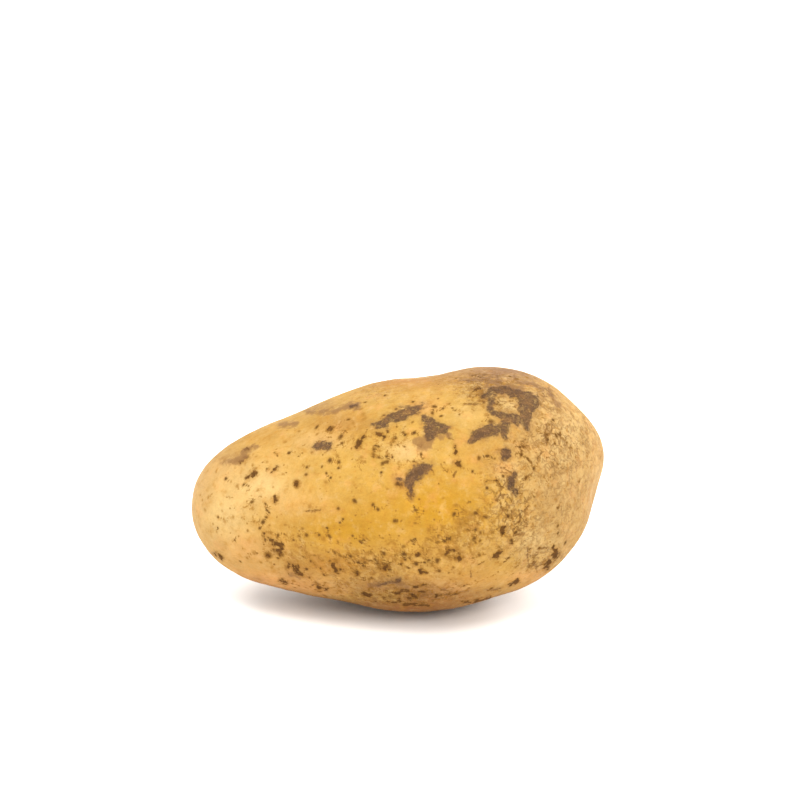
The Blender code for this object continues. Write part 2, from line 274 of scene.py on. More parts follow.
# Where the skin is mottled with brown
STAINS = patches(
    (385, 572, 80, 22, 0.9), (295, 556, 26, 20, 0.75), (455, 550, 34, 18, 0.7),
    (410, 594, 70, 12, 0.8), (390, 440, 40, 20, 0.5), (507, 490, 24, 32, 0.7),
    (240, 460, 22, 12, 0.5), (485, 380, 54, 14, 0.95), (544, 396, 14, 10, 0.9),
    (470, 520, 20, 14, 0.6), (525, 530, 28, 26, 0.6), (335, 430, 30, 14, 0.5),
    (402, 480, 9, 10, 0.9), (545, 560, 22, 14, 0.6), (560, 440, 30, 34, 0.6),
    (260, 515, 14, 26, 0.4), (325, 530, 24, 8, 0.55), (372, 395, 34, 10, 0.5),
    (425, 407, 18, 8, 0.75), (478, 392, 12, 9, 0.7),
)

# Where fine furrows run along the tuber
WRINKLES = patches(
    (492, 378, 46, 13, 1.0), (400, 597, 70, 10, 1.2), (385, 575, 70, 12, 0.6),
    (480, 590, 40, 8, 0.5), (318, 511, 26, 5, 0.5), (375, 480, 40, 9, 0.4), (470, 402, 16, 12, 0.6),
    (330, 580, 34, 9, 0.5),
)

# Smoky films of fine soil
VEILS = patches(
    (232, 457, 18, 8, 0.65), (320, 405, 18, 5, 0.55), (285, 423, 16, 4, 0.35),
    (508, 371, 40, 6, 1.3), (530, 378, 14, 4, 0.7), (548, 398, 14, 10, 0.4),
    (388, 584, 26, 6, 0.65), (425, 590, 22, 8, 0.45), (292, 571, 12, 8, 0.5),
    (495, 404, 14, 12, 0.35), (603, 456, 4, 6, 0.5), (258, 580, 10, 4, 0.5), (400, 370, 30, 5, 0.3),
)


def paint(red, green, blue):
    """A colour as the screen shows it, from 0 to 255, in the linear numbers that shaders use."""
    linear = []
    for value in (red, green, blue):
        share = value / 255
        linear.append(share / 12.92 if share <= 0.04045 else ((share + 0.055) / 1.055) ** 2.4)
    return (*linear, 1.0)


# The skin's tones, before the light falls on them; the tone where the skin faces the floor is painted shade,
# partly soil
TAN = paint(167, 129, 68)
BEIGE = paint(153, 120, 72)
CREAM = paint(184, 155, 102)
YELLOW = paint(168, 132, 62)
GOLD = paint(158, 115, 30)
BLUSH = paint(181, 146, 97)
PEACH = paint(182, 139, 82)
SALMON = paint(186, 134, 80)
UMBER = paint(151, 102, 34)
RUSSET = paint(124, 87, 42)
# A soil brown, used as painted shade, partly soil, along the lower outline and the top rim
EARTH_AND_SHADE = paint(121, 75, 39)
# Painted shade, partly soil: a dark brown where the skin turns down towards the floor
UNDERSIDE_SHADE_AND_SOIL = paint(96, 60, 30)

# Soft patches of tone, in the order in which they cover each other
TONES = [
    (YELLOW, patches((390, 455, 150, 80, 0.85))),
    (GOLD, patches((440, 508, 72, 38, 0.95), (345, 530, 60, 26, 0.85))),
    (YELLOW, patches((452, 412, 34, 22, 0.7))),
    (UMBER, patches(
        (332, 564, 34, 11, 0.75), (345, 423, 30, 12, 0.7), (262, 438, 24, 9, 0.25),
        (480, 574, 26, 12, 0.35), (480, 455, 20, 12, 0.4),
    )),
    (BEIGE, patches((562, 480, 46, 90, 0.9))),
    # Pale patches on the left end and in the middle: paler skin with a painted highlight where the surface
    # faces the light
    (CREAM, patches((262, 486, 28, 20, 0.85), (226, 515, 26, 34, 0.85), (404, 453, 18, 9, 0.55))),
    (BLUSH, patches((408, 449, 18, 9, 0.45))),
    (CREAM, patches((466, 414, 20, 12, 0.3))),
    (BEIGE, patches((532, 438, 24, 26, 0.5))),
    (SALMON, patches((504, 468, 12, 7, 0.6), (400, 480, 8, 9, 0.6), (425, 407, 18, 8, 0.45))),
    (CREAM, patches((507, 406, 10, 7, 0.4), (566, 430, 22, 26, 0.35), (536, 542, 20, 16, 0.6))),
    (YELLOW, patches((508, 570, 22, 14, 0.7))),
    (PEACH, patches((246, 550, 32, 16, 0.8), (300, 505, 30, 14, 0.4))),
    (BLUSH, patches((320, 440, 26, 10, 0.5))),
    (BEIGE, patches((345, 422, 26, 10, 0.4))),
    (BLUSH, patches((196, 480, 14, 50, 0.7), (220, 466, 24, 20, 0.45), (290, 452, 36, 16, 0.12))),
    (BEIGE, patches((316, 405, 34, 7, 0.5))),
    # Darker along the top rim: a film of soil and painted shade, where the top turns away from the light
    (RUSSET, patches((505, 370, 60, 9, 1.0))),
    (UMBER, patches((400, 379, 60, 10, 0.9))),
    (RUSSET, patches((396, 377, 66, 7, 0.25))),
    (BEIGE, patches((476, 371, 14, 5, 0.5))),
    (BLUSH, patches((598, 470, 10, 60, 0.5))),
    # Along the lower outline: warm bands that are skin tone and painted light bounced from the floor, then
    # dark brown that is painted shade, partly soil, where the belly turns under
    (SALMON, patches((262, 582, 50, 12, 0.8))),
    (RUSSET, patches((285, 592, 34, 6, 0.45))),
    (SALMON, patches((545, 577, 40, 9, 0.6))),
    (EARTH_AND_SHADE, patches(
        (400, 600, 95, 13, 0.75), (410, 608, 60, 7, 0.85), (443, 594, 34, 6, 0.4),
        (413, 594, 16, 7, 0.5), (372, 587, 14, 5, 0.4),
    )),
    (SALMON, patches((312, 588, 34, 7, 0.45), (440, 585, 30, 8, 0.3))),
    (YELLOW, patches((354, 595, 20, 6, 0.6), (389, 596, 13, 6, 0.75))),
    (CREAM, patches((521, 377, 12, 4, 0.35))),
    # Painted shade and soil on the top rim
    (EARTH_AND_SHADE, patches((490, 371, 14, 4, 0.35))),
]

# Soil, scabs and cracks
SOIL_MID = paint(102, 76, 52)
SOIL_DARK = paint(70, 52, 39)
SOIL_FLECK = paint(148, 120, 88)
SOIL_PALE = paint(122, 88, 53)
SCAB_PALE = paint(128, 87, 32)
SCAB_MID = paint(97, 63, 27)
SCAB_DARK = paint(74, 48, 21)
CRACK_BROWN = paint(108, 73, 36)
STAIN_BROWN = paint(128, 87, 36)

FAR = 1000.0  # in millimetres, a gap with no mark near

# How squarely the skin faces the photograph's camera, 1 being square on, where
SHOWN_FACING = 0.15  # what the photograph shows has taken over from what is drawn
FADE_FACING = 0.1  # marks placed in the photograph are gone at minus this, and whole at this
HIDDEN_FACING = -0.05  # specks are strewn below this
FAR_FACING = -0.3  # strokes are strewn below this, or they would show over the outline

# Strokes strewn over the hidden side: how many, of how many dabs, and the dabs' radii in millimetres
Strewn = namedtuple("Strewn", "count dabs smallest largest")
BACK_CRUSTS = Strewn(count=16, dabs=(2, 6), smallest=0.8, largest=2.0)
BACK_PALE_CRUSTS = Strewn(count=8, dabs=(3, 5), smallest=1.0, largest=2.2)
BACK_SCABS = Strewn(count=40, dabs=(1, 3), smallest=0.3, largest=0.8)
STRAY = 0.7  # how far a stroke turns from dab to dab
STRIDE = 1.2  # from dab to dab, in radii
BACK_SPECKS = 620
BACK_SPECK_SMALLEST = 0.13  # millimetres
BACK_SPECK_LARGEST = 0.6

# The hidden eyes and the stem scar, where the solid has them: how far along the tuber and how wide
# in millimetres, and the roll in degrees from its top to its front
Eye = namedtuple("Eye", "along roll width")
HIDDEN_EYES = [
    Eye(-49, 305, 7), Eye(-50, 195, 7), Eye(-37, 252, 9), Eye(-11, 290, 10), Eye(-19, 185, 9),
    Eye(15, 236, 10), Eye(37, 268, 10),
]
SCAR = Eye(54.5, 290, 10)
AXIS = [(-56, 29), (0, 31.6), (28, 35.7), (56, 39.4)]  # X and Z in millimetres
AXIS_SQUASH = 0.95  # the tuber's height as a share of its depth
CREASE_REACH = 0.34  # of an eye's width
CREASE_ARC = (-65, 65)  # degrees, from the stem end
ARC_STEPS = 12
CREASE_RADIUS = 0.4  # millimetres, as are the two below
BUD_RADIUS = 0.6
STUB_RADIUS = 1.1
SCAR_REACH = 0.36  # of the scar's width
SCAR_ARC = (40, 285)  # degrees, from the stem end
EYE_STAIN = 0.6  # the reach of the brown round an eye, as a share of its width
EYE_STAIN_STRENGTH = 0.7

# The hidden side's tones, where a noise of the given spacing runs between its two ends
HiddenTone = namedtuple("HiddenTone", "colour spacing shift ends strength")
HIDDEN_TONES = [
    HiddenTone(YELLOW, spacing=30 * MM, shift=(4, 0, 0), ends=(-0.3, 0.3), strength=0.8),
    HiddenTone(GOLD, spacing=26 * MM, shift=(0, 7, 0), ends=(0.0, 0.4), strength=0.7),
    HiddenTone(CREAM, spacing=15 * MM, shift=(0, 0, 9), ends=(0.1, 0.4), strength=0.6),
]
HIDDEN_STRENGTH = 0.6  # of the tones that follow the slope and the two ends of the hidden side
TIPS = (40 * MM, 56 * MM)  # from the middle of the length, where the ends turn paler
UNDERSIDE_SHADE_STRENGTH = 0.9
UNDERSIDE_SHADE_SLOPE = (-0.76, -0.96)  # the normal's Z where the painted shade on the lower side starts and is full
BELLY_SLOPE = (-0.2, -0.8)  # the same for the brown of the hidden side's lower half

# Zones of fine marks: patches where the photograph shows the skin, and a noise where it doesn't
Zone = namedtuple("Zone", "patches spacing shift hidden strength")
NET = Zone(NET_PATCHES, spacing=18 * MM, shift=(3, 3, 0), hidden=0.75, strength=1.0)
VEIL = Zone(VEILS, spacing=14 * MM, shift=(0, 5, 5), hidden=1.0, strength=0.7)
WRINKLE = Zone(WRINKLES, spacing=16 * MM, shift=(2, 6, 1), hidden=1.0, strength=0.8)
STAIN = Zone(STAINS, spacing=12 * MM, shift=(6, 0, 5), hidden=1.0, strength=0.8)
ZONE_ENDS = (0.0, 0.6)  # the noise where a hidden zone starts and is full

# Specks, whose shade runs from 0, pale, to 1, dark
SPOT_SHADE = 0.75
FAINT_SHADE = 0.2
SHADE_SPREAD = 0.15  # how much a spot's shade may differ from those two
SMALLEST_SHADE = 0.35  # the darkest that the smallest speck can be
DARK_RADIUS = 0.8  # in millimetres, the radius that adds 1 to that
STRETCHES = (0.75, 1.3)  # how much longer than round a speck is
SPECK_CHOICES = 4  # how many of the specks nearest by their centres are compared by their rims

# Relief
CRUST_HEIGHT = 0.16 * MM
CRUST_EDGE = (0.3, -0.4)  # in millimetres, the gaps where a crust starts and has its full height
PALE_CRUST_HEIGHT = 0.4 * CRUST_HEIGHT
PALE_CRUST_EDGE = (0.3, -0.3)
SCAB_RIM = 0.06 * MM
SCAB_RIM_WIDTH = 0.35  # millimetres
FLOOR_CALM = 1.5 * MM  # the height over which the relief fades in above the flat of the belly
Swell = namedtuple("Swell", "height spacing shift")
UNEVEN = Swell(0.14 * MM, spacing=6 * MM, shift=(1, 2, 3))
FINE_UNEVEN = Swell(0.05 * MM, spacing=2.2 * MM, shift=(5, 1, 8))
NET_LUMPS = Swell(0.12 * MM, spacing=2.6 * MM, shift=(2, 9, 4))

# Relief in the skin's material, in millimetres
GRAIN_HEIGHT = 0.01
FRECKLE_HEIGHT = 0.015
STREAK_HEIGHT = 0.012
BLOTCH_HEIGHT = 0.04
LUMP_HEIGHT = 0.16
LINE_DEPTH = 0.16
FURROW_DEPTH = 0.14
CRACK_DEPTH = 0.12
SPECK_HEIGHT = 0.04
SCAB_HEIGHT = 0.06
SOIL_HEIGHT = 0.08
SOIL_GRIT = 0.05

SKIN_SPECULAR = 0.04
SKIN_ROUGHNESS = 0.56
SOIL_ROUGHNESS = 0.85

# The studio
FLOOR_SIZE = 14.0
FLOOR_BRIGHTNESS = 0.97
FLOOR_ROUGHNESS = 0.9
FLOOR_SPECULAR = 0.1
WORLD_STRENGTH = 0.8
LIGHT_AIM = Vector((0, 0, 30 * MM))
FRONT_WHITE = (1.0, 0.98, 0.95)
REAR_WHITE = (1.0, 0.99, 0.97)
Light = namedtuple("Light", "name place size power colour")
LIGHTS = [
    Light("key", Vector((-1.2, -1.7, 1.5)), 1.4, 8.9, FRONT_WHITE),
    Light("high_front", Vector((1.0, -1.7, 1.4)), 1.0, 23.0, FRONT_WHITE),
    Light("over_front", Vector((0.0, -1.0, 2.0)), 1.0, 28.4, FRONT_WHITE),
    Light("over_left", Vector((-1.2, -0.4, 2.0)), 1.0, 17.8, FRONT_WHITE),
    Light("over_right", Vector((1.4, -0.2, 2.0)), 1.0, 6.0, FRONT_WHITE),
    Light("rear_right", Vector((1.7, 1.1, 0.9)), 1.0, 33.3, REAR_WHITE),
    Light("rear", Vector((0.0, 1.8, 1.6)), 1.2, 7.9, REAR_WHITE),
    Light("rear_left", Vector((-1.7, 1.1, 0.9)), 1.0, 5.6, REAR_WHITE),
    Light("rear_low", Vector((0.2, 2.0, 0.8)), 1.0, 12.4, REAR_WHITE),
]


class PhotoView:
    """The photograph's camera, which turns points into pixels and pixels into rays."""

    def __init__(self):
        self.back = Vector((0, -math.cos(ELEVATION), math.sin(ELEVATION)))
        self.right = Vector((1, 0, 0))
        self.up = self.back.cross(self.right)
        self.place = AIM + self.back * DISTANCE
        self.focal = LENS / SENSOR * PHOTO_SIDE

    def pixels(self, points):
        away = points - np.array(self.place)
        depth = -(away @ np.array(self.back))
        x = PHOTO_SIDE / 2 + self.focal * (away @ np.array(self.right)) / depth
        y = PHOTO_SIDE / 2 - self.focal * (away @ np.array(self.up)) / depth
        return np.stack([x, y], -1)

    def ray(self, x, y):
        across = (x - PHOTO_SIDE / 2) / self.focal
        down = (y - PHOTO_SIDE / 2) / self.focal
        return (self.right * across - self.up * down - self.back).normalized()

    def facing(self, points, normals):
        """How squarely each point of the skin faces the camera: 1 is square on, under 0 is hidden."""
        towards = np.array(self.place) - points
        towards /= np.linalg.norm(towards, axis=1, keepdims=True)
        return (towards * normals).sum(1)


PHOTO = PhotoView()


def smoothstep(low, high, values):
    share = np.clip((values - low) / (high - low), 0, 1)
    return share * share * (3 - 2 * share)


def box_lattice(steps):
    """The points of a box's grid, from -1 to 1 along each axis, and the squares between them."""
    strides = np.array([(steps[1] + 1) * (steps[2] + 1), steps[2] + 1, 1])
    squares = []
    for axis in range(3):
        first, second = (axis + 1) % 3, (axis + 2) % 3
        for side in (0, steps[axis]):
            rows, columns = np.arange(steps[first] + 1), np.arange(steps[second] + 1)
            grid = np.meshgrid(rows, columns, indexing="ij")
            key = side * strides[axis] + grid[0] * strides[first] + grid[1] * strides[second]
            ring = [key[:-1, :-1], key[1:, :-1], key[1:, 1:], key[:-1, 1:]]
            if side == 0:
                ring.reverse()
            squares.append(np.stack(ring, -1).reshape(-1, 4))
    keys, places = np.unique(np.concatenate(squares), return_inverse=True)
    counts = np.stack([keys // strides[0], keys // strides[1] % (steps[1] + 1), keys % strides[1]], -1)
    return counts / np.array(steps) * 2 - 1, places.reshape(-1, 4)


class Skin:
    """The skin's points and squares, as arrays, while the relief is being raised."""

    def __init__(self, solid):
        lattice, self.squares = box_lattice(STEPS)
        spread = np.tan(lattice * math.pi / 4)
        unit = spread / np.linalg.norm(spread, axis=1, keepdims=True)
        self.solid = BVHTree.FromPolygons(
            [vertex.co for vertex in solid.vertices], [polygon.vertices for polygon in solid.polygons]
        )
        self.centre = Vector((LOW + HIGH) / 2)
        reach = unit * (HIGH - LOW) / 2
        self.points = np.array([self.solid.ray_cast(self.centre, Vector(one))[0] for one in reach])
        sides = [self.squares[:, [corner, (corner + 1) % 4]] for corner in range(4)]
        self.edges = np.unique(np.sort(np.concatenate(sides), axis=1), axis=0)
        self.neighbours = np.bincount(self.edges.ravel(), minlength=len(self.points))
        for _ in range(SMOOTHING_ROUNDS):
            self.points = self.smoothed(self.points)
        self.normals = self.find_normals()

    def smoothed(self, values):
        """Each point's mean over the points next to it."""
        first, second = self.edges.T
        total = np.zeros_like(values)
        for axis in range(values.shape[1]):
            total[:, axis] += np.bincount(first, values[second, axis], len(values))
            total[:, axis] += np.bincount(second, values[first, axis], len(values))
        return total / self.neighbours[:, None]

    def find_normals(self):
        """Each point's normal, from the squares round it."""
        corners = self.points[self.squares]
        faces = np.cross(corners[:, 2] - corners[:, 0], corners[:, 3] - corners[:, 1])
        normals = np.zeros_like(self.points)
        for axis in range(3):
            for corner in range(4):
                normals[:, axis] += np.bincount(self.squares[:, corner], faces[:, axis], len(normals))
        return normals / np.linalg.norm(normals, axis=1, keepdims=True)

    def under_pixel(self, x, y):
        """The solid's place and normal under a pixel of the photograph, or None."""
        place, normal, _, _ = self.solid.ray_cast(PHOTO.place, PHOTO.ray(x, y))
        return None if place is None else (place, normal)

    def at(self, eye):
        """The solid's place and normal at an eye or the scar."""
        turn = math.radians(eye.roll)
        height = np.interp(eye.along, *zip(*AXIS))
        start = Vector((eye.along * MM, 0, height * MM))
        outward = Vector((0, -math.sin(turn), math.cos(turn) * AXIS_SQUASH))
        place, normal, _, _ = self.solid.ray_cast(start, outward)
        return place, normal

    def raise_by(self, height):
        """Moves each point out along its normal."""
        self.points = self.points + self.normals * height[:, None]
        self.normals = self.find_normals()

    def keep_in_box(self):
        """Draws the skin in where it stands outside the solid's box."""
        lowest, highest = self.points.min(0), self.points.max(0)
        share = (self.points - lowest) / (highest - lowest)
        self.points = np.maximum(lowest, LOW) * (1 - share) + np.minimum(highest, HIGH) * share


def from_segment(points, start, end):
    """The way to each point from its nearest place on a segment, and how far along that place is."""
    along = end - start
    share = np.clip((points - start) @ along / (along @ along), 0, 1)
    return points - start - share[:, None] * along, share


def stroke_gap(points, stroke):
    """How far each point lies outside a stroke, under 0 inside it, in the stroke's own unit."""
    dabs = np.array(stroke, float)
    places, radii = dabs[:, :-1], dabs[:, -1]
    gap = np.linalg.norm(points - places[0], axis=1) - radii[0]
    for start, end, thin, thick in zip(places[:-1], places[1:], radii[:-1], radii[1:]):
        away, share = from_segment(points, start, end)
        gap = np.minimum(gap, np.linalg.norm(away, axis=1) - thin - (thick - thin) * share)
    return gap


def nearest_gap(points, strokes):
    """How far each point lies outside the nearest of some strokes."""
    gap = np.full(len(points), FAR)
    for stroke in strokes:
        gap = np.minimum(gap, stroke_gap(points, stroke))
    return gap


def bells(pixels, spots):
    """The sum of soft patches, each as high in its middle as its strength."""
    total = np.zeros(len(pixels))
    for patch in spots:
        across = (pixels[:, 0] - patch.x) / patch.across
        down = (pixels[:, 1] - patch.y) / patch.down
        total += patch.strength * np.exp(-(across**2 + down**2))
    return total


Speck = namedtuple("Speck", "place out long wide turn shade")


class Marks:
    """Distances from every point of the skin to the marks on it, in millimetres."""

    MM_PER_PIXEL = DISTANCE / PHOTO.focal / MM

    def __init__(self, skin):
        self.skin = skin
        self.draw = random.Random(SEED)
        self.pixels = PHOTO.pixels(skin.points)
        self.facing = PHOTO.facing(skin.points, skin.normals)
        self.shown = smoothstep(0.0, SHOWN_FACING, self.facing)
        self.hidden_gap = FAR * (1 - smoothstep(-FADE_FACING, FADE_FACING, self.facing))

    def front(self, strokes):
        """The gap to strokes placed in the photograph, which end where its view of the skin ends."""
        return nearest_gap(self.pixels, strokes) * self.MM_PER_PIXEL + self.hidden_gap

    def hidden_place(self, facing):
        """A random place on the skin that faces the photograph's camera less than the given value."""
        while True:
            index = self.draw.randrange(len(self.facing))
            if self.facing[index] < facing:
                return Vector(self.skin.points[index])

    def random_vector(self):
        return Vector([self.draw.uniform(-1, 1) for _ in range(3)])

    def wander(self, strewn):
        """A random chain of dabs over the hidden side."""
        count = self.draw.randint(*strewn.dabs)
        place = self.hidden_place(FAR_FACING)
        heading = self.random_vector()
        dabs = []
        for _ in range(count):
            nearest, normal, _, _ = self.skin.solid.find_nearest(place)
            radius = self.draw.uniform(strewn.smallest, strewn.largest)
            dabs.append((*(nearest / MM), radius))
            heading = heading.normalized() + self.random_vector() * STRAY
            heading = (heading - normal * heading.dot(normal)).normalized()
            place = nearest + heading * radius * STRIDE * MM
        return dabs

    def back(self, strewn):
        """The gap to random strokes on the side that the photograph hides."""
        return nearest_gap(self.skin.points / MM, [self.wander(strewn) for _ in range(strewn.count)])

    def arc(self, place, normal, reach, start, end):
        """A stroke round a place on the skin between two angles, where 0 looks to the stem end."""
        to_stem = (Vector((1, 0, 0)) - normal * normal.x).normalized()
        across = normal.cross(to_stem)
        dabs = []
        for step in range(ARC_STEPS + 1):
            angle = math.radians(start + (end - start) * step / ARC_STEPS)
            aside = to_stem * math.cos(angle) + across * math.sin(angle)
            nearest = self.skin.solid.find_nearest(place + aside * reach)[0]
            dabs.append((*(nearest / MM), CREASE_RADIUS))
        return dabs

    def eye_strokes(self, eye, reach, angles, radius):
        """A crease round an eye or the scar, and a dab of the given radius in its middle."""
        place, normal = self.skin.at(eye)
        crease = self.arc(place, normal, eye.width * reach * MM, *angles)
        return [crease, [(*(place / MM), radius)]]

    def eyes(self):
        """The gap to the crease and the bud of each hidden eye, and to the stem scar."""
        strokes = self.eye_strokes(SCAR, SCAR_REACH, SCAR_ARC, STUB_RADIUS)
        for eye in HIDDEN_EYES:
            strokes += self.eye_strokes(eye, CREASE_REACH, CREASE_ARC, BUD_RADIUS)
        return nearest_gap(self.skin.points / MM, strokes)

    def round_eyes(self):
        """1 at each hidden eye and the stem scar, fading out over its width."""
        total = np.zeros(len(self.pixels))
        for eye in [*HIDDEN_EYES, SCAR]:
            away = np.linalg.norm(self.skin.points - np.array(self.skin.at(eye)[0]), axis=1)
            total += np.exp(-((away / (eye.width * EYE_STAIN * MM)) ** 2))
        return np.clip(total, 0, 1)

    def lay_speck(self, place, normal, radius, shade=None):
        """A speck of the given radius in millimetres. Without a shade it gets a random one."""
        stretch = self.draw.uniform(*STRETCHES)
        turn = self.draw.uniform(0, math.pi)
        if shade is None:
            shade = self.draw.random() * min(1.0, SMALLEST_SHADE + radius / DARK_RADIUS)
        return Speck(place, normal, radius * stretch, radius / stretch, turn, shade)

    def mostly_small(self, smallest, largest, power):
        """A random radius, the more often near the smallest the higher the power is."""
        return smallest + (largest - smallest) * self.draw.random() ** power

    def spots(self):
        """The spots read off the photograph."""
        for places, shade in ((SPOTS, SPOT_SHADE), (FAINT_SPOTS, FAINT_SHADE)):
            for x, y, radius in places:
                found = self.skin.under_pixel(x, y)
                if found:
                    shade_here = shade + self.draw.uniform(-SHADE_SPREAD, SHADE_SPREAD)
                    yield self.lay_speck(*found, radius * self.MM_PER_PIXEL, shade_here)

    def clustered_specks(self):
        """The finer specks, drawn round places in the photograph."""
        for cluster in CLUSTERS:
            for _ in range(cluster.count):
                x = self.draw.gauss(cluster.x, cluster.across * CLUSTER_SPREAD)
                y = self.draw.gauss(cluster.y, cluster.down * CLUSTER_SPREAD)
                radius = self.mostly_small(cluster.smallest, cluster.largest, 2)
                found = self.skin.under_pixel(x, y)
                if found:
                    yield self.lay_speck(*found, radius * self.MM_PER_PIXEL)

    def back_specks(self):
        """The specks of the side that the photograph hides."""
        for _ in range(BACK_SPECKS):
            place, normal, _, _ = self.skin.solid.find_nearest(self.hidden_place(HIDDEN_FACING))
            radius = self.mostly_small(BACK_SPECK_SMALLEST, BACK_SPECK_LARGEST, 3)
            yield self.lay_speck(place, normal, radius)

    def all_specks(self):
        return [*self.spots(), *self.clustered_specks(), *self.back_specks()]

    def nearest_speck(self, specks):
        """Each point's place on its nearest speck, where the rim is 1 away, and how far the rim is.

        The place is kept, and not only the distance, because it stays exact between the skin's
        points, so that a speck smaller than the mesh's squares still has a round, crisp rim.
        """
        tree = KDTree(len(specks))
        for index, speck in enumerate(specks):
            tree.insert(speck.place, index)
        tree.balance()
        radii = np.array([math.sqrt(speck.long * speck.wide) for speck in specks]) * MM
        chosen = np.zeros(len(self.pixels), int)
        rim = np.zeros(len(self.pixels))
        for row, point in enumerate(self.skin.points):
            found = tree.find_n(point, SPECK_CHOICES)
            rim[row], chosen[row] = min((distance - radii[index], index) for _, index, distance in found)
        frames = np.zeros((len(specks), 3, 3))
        for index, speck in enumerate(specks):
            side = speck.out.orthogonal().normalized()
            other = speck.out.cross(side)
            along = side * math.cos(speck.turn) + other * math.sin(speck.turn)
            across = speck.out.cross(along)
            frames[index] = [speck.place, along / (speck.long * MM), across / (speck.wide * MM)]
        away = self.skin.points - frames[chosen, 0]
        along = (away * frames[chosen, 1]).sum(1)
        across = (away * frames[chosen, 2]).sum(1)
        shades = np.array([speck.shade for speck in specks])
        return np.stack([along, across, rim / MM], -1), shades[chosen]

    def nearest_crack(self, lines):
        """Each point's way to the nearest crack line across the photograph, and its length."""
        best = np.full(len(self.pixels), FAR)
        way = np.zeros((len(self.pixels), 2))
        for line in lines:
            for start, end in zip(np.array(line[:-1], float), np.array(line[1:], float)):
                away, _ = from_segment(self.pixels, start, end)
                reach = np.linalg.norm(away, axis=1)
                nearer = reach < best
                best[nearer] = reach[nearer]
                way[nearer] = -away[nearer]
        way += self.hidden_gap[:, None]
        best += self.hidden_gap
        return np.concatenate([way, best[:, None]], 1) * self.MM_PER_PIXEL


def field(points, spacing, shift):
    """Smooth noise over the skin, from about -1 to 1."""
    offset = Vector(shift)
    return np.array([noise.noise(Vector(point) / spacing + offset) for point in points])


def mixed(first, second, share):
    """The first colours, covered by the second, which may be one colour for all points."""
    share = np.clip(share, 0, 1)[:, None]
    return first * (1 - share) + np.array(second) * share


def skin_tones(skin, marks):
    """The skin's colour at each point before its marks, with painted shade where it faces the floor: read
    off the photograph, or drawn.
    """
    shown = hidden = np.tile(np.array(TAN), (len(skin.points), 1))
    slope = skin.normals[:, 2]
    # Painted shade, partly soil, where the skin faces the floor, on the shown and the hidden side
    underside_shade = smoothstep(*UNDERSIDE_SHADE_SLOPE, slope) * UNDERSIDE_SHADE_STRENGTH
    for colour, spots in TONES:
        for patch in spots:
            shown = mixed(shown, colour, bells(marks.pixels, [patch]))
    shown = mixed(shown, UNDERSIDE_SHADE_AND_SOIL, underside_shade)
    for tone in HIDDEN_TONES:
        share = smoothstep(*tone.ends, field(skin.points, tone.spacing, tone.shift))
        hidden = mixed(hidden, tone.colour, share * tone.strength)
    hidden = mixed(hidden, UMBER, smoothstep(*BELLY_SLOPE, slope) * HIDDEN_STRENGTH)
    hidden = mixed(hidden, UNDERSIDE_SHADE_AND_SOIL, underside_shade * HIDDEN_STRENGTH)
    hidden = mixed(hidden, BLUSH, smoothstep(*TIPS, np.abs(skin.points[:, 0])) * HIDDEN_STRENGTH)
    return mixed(hidden, shown, marks.shown)


def soft_field(skin, marks, zone):
    """A zone's strength at each point: its patches where the photograph shows it, and noise elsewhere."""
    shown = np.clip(bells(marks.pixels, zone.patches), 0, 1)
    hidden = smoothstep(*ZONE_ENDS, field(skin.points, zone.spacing, zone.shift)) * zone.hidden
    return (hidden * (1 - marks.shown) + shown * marks.shown) * zone.strength


def raise_relief(skin, gaps):
    """Crusts stand proud of the skin, scabs have a raised rim, and all of it is a little uneven."""
    level = smoothstep(0, FLOOR_CALM, skin.points[:, 2])
    crust = smoothstep(*CRUST_EDGE, gaps["soil"]) * CRUST_HEIGHT
    crust += smoothstep(*PALE_CRUST_EDGE, gaps["pale_soil"]) * PALE_CRUST_HEIGHT
    scab = np.exp(-((gaps["scab"] / SCAB_RIM_WIDTH) ** 2)) * SCAB_RIM
    uneven = np.zeros(len(skin.points))
    for swell in (UNEVEN, FINE_UNEVEN):
        uneven += field(skin.points, swell.spacing, swell.shift) * swell.height
    lumps = 1 - np.abs(field(skin.points, NET_LUMPS.spacing, NET_LUMPS.shift)) * 2
    cracked = lumps * gaps["net"] * NET_LUMPS.height
    skin.raise_by((crust + scab + uneven + cracked) * level)
    skin.keep_in_box()
    skin.points[:, 2] = np.maximum(skin.points[:, 2], 0)


def store(mesh, name, kind, values):
    """Keeps a value for each point in the mesh, for the material to read."""
    slots = {"FLOAT": "value", "FLOAT_VECTOR": "vector", "FLOAT_COLOR": "color"}
    attribute = mesh.attributes.new(name, kind, "POINT")
    attribute.data.foreach_set(slots[kind], np.ascontiguousarray(values, dtype=np.float32).ravel())


def build_skin():
    skin = Skin(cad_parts[NODE].data)
    marks = Marks(skin)
    gaps = {
        "soil": np.minimum(marks.front(CRUSTS), marks.back(BACK_CRUSTS)),
        "pale_soil": np.minimum(marks.front(PALE_CRUSTS), marks.back(BACK_PALE_CRUSTS)),
        "scab": np.minimum.reduce([marks.front(SCABS), marks.back(BACK_SCABS), marks.eyes()]),
        "net": soft_field(skin, marks, NET),
        "veil": soft_field(skin, marks, VEIL),
        "wrinkle": soft_field(skin, marks, WRINKLE),
        "stain": np.maximum(soft_field(skin, marks, STAIN), marks.round_eyes() * EYE_STAIN_STRENGTH),
    }
    speck, shade = marks.nearest_speck(marks.all_specks())
    crack = marks.nearest_crack(CRACKS)
    tones = skin_tones(skin, marks)
    raise_relief(skin, gaps)
    mesh = bpy.data.meshes.new("potato_skin")
    mesh.from_pydata(skin.points.tolist(), [], skin.squares.tolist())
    for name, values in gaps.items():
        store(mesh, name, "FLOAT", values)
    store(mesh, "speck", "FLOAT_VECTOR", speck)
    store(mesh, "speck_shade", "FLOAT", shade)
    store(mesh, "crack", "FLOAT_VECTOR", crack)
    store(mesh, "tone", "FLOAT_COLOR", tones)
    mesh.shade_smooth()
    mesh.materials.append(skin_material())
    piece = bpy.data.objects.new("potato_skin", mesh)
    bpy.context.scene.collection.objects.link(piece)
    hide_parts(NODE)
    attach(piece, BODY)


